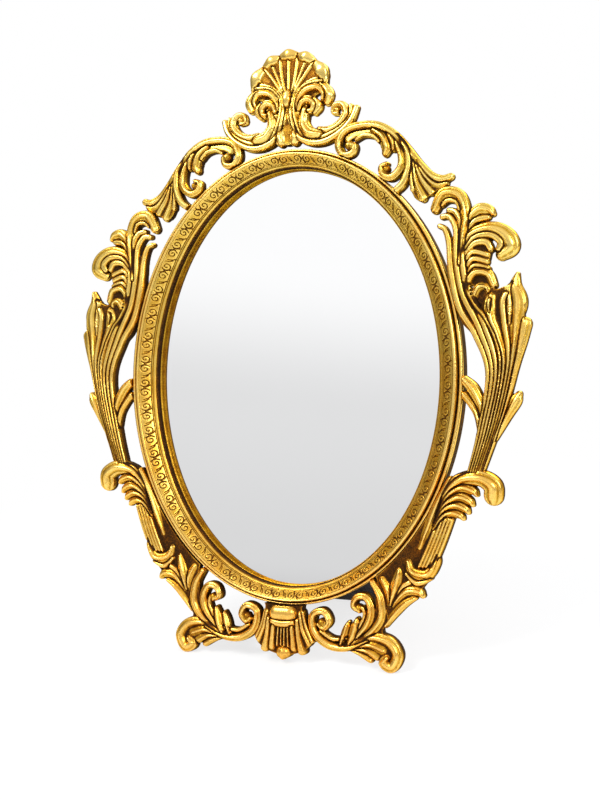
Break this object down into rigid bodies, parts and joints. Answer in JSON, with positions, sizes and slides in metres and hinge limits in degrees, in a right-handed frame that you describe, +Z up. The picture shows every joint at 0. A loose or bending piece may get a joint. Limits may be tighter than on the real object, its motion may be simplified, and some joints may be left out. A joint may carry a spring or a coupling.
{
  "type": "table mirror",
  "caption": "Oval table mirror in a gilt cast rim with pierced shell and leaf scrollwork, standing on its scroll feet and a hinged easel strut.",
  "frame": {"origin": "on the ground, midway across the width and midway between the apron's front and the strut's back", "axes": "+Z up, +Y away from the viewer towards the strut, +X to the viewer's right"},
  "size_m": [0.3112, 0.119, 0.3791],
  "materials": {
    "rim": "antique gilt, polished on the heights",
    "castings": "antique gilt with dark recesses",
    "glass": "silvered flat glass",
    "card": "grey-brown pulp card",
    "board": "thin plywood",
    "velvet": "short black velvet",
    "clips": "plain stamped sheet",
    "screws": "slotted, slightly dull",
    "hinge": "plain rolled sheet",
    "pin": "plain drawn wire",
    "foot": "black"
  },
  "bodies": {
    "frame": {"oval_rim": "rim", "mirror_glass": "glass", "packing_card": "card", "back_board": "board", "back_velvet": "velvet", "retaining_clips": "clips", "clip_screws": "screws", "crest": "castings", "upper_scroll_left": "castings", "upper_scroll_right": "castings", "side_plume_left": "castings", "side_plume_right": "castings", "lower_leaf_left": "castings", "lower_leaf_right": "castings", "foot_scroll_left": "castings", "foot_scroll_right": "castings", "apron_shell": "castings", "hinge_fixed_leaf": "hinge", "hinge_pin": "pin", "fixed_leaf_screws": "screws"},
    "strut": {"hinge_moving_leaf": "hinge", "moving_leaf_screws": "screws", "strut_core": "board", "strut_velvet": "velvet", "strut_foot": "foot"}
  },
  "joints": [
    {"name": "strut_hinge", "type": "hinge", "parent": "frame", "child": "strut", "pos_m": [0, 0.01613, 0.2206], "axis": [-1, 0, 0], "range_deg": [0, 22]}
  ]
}
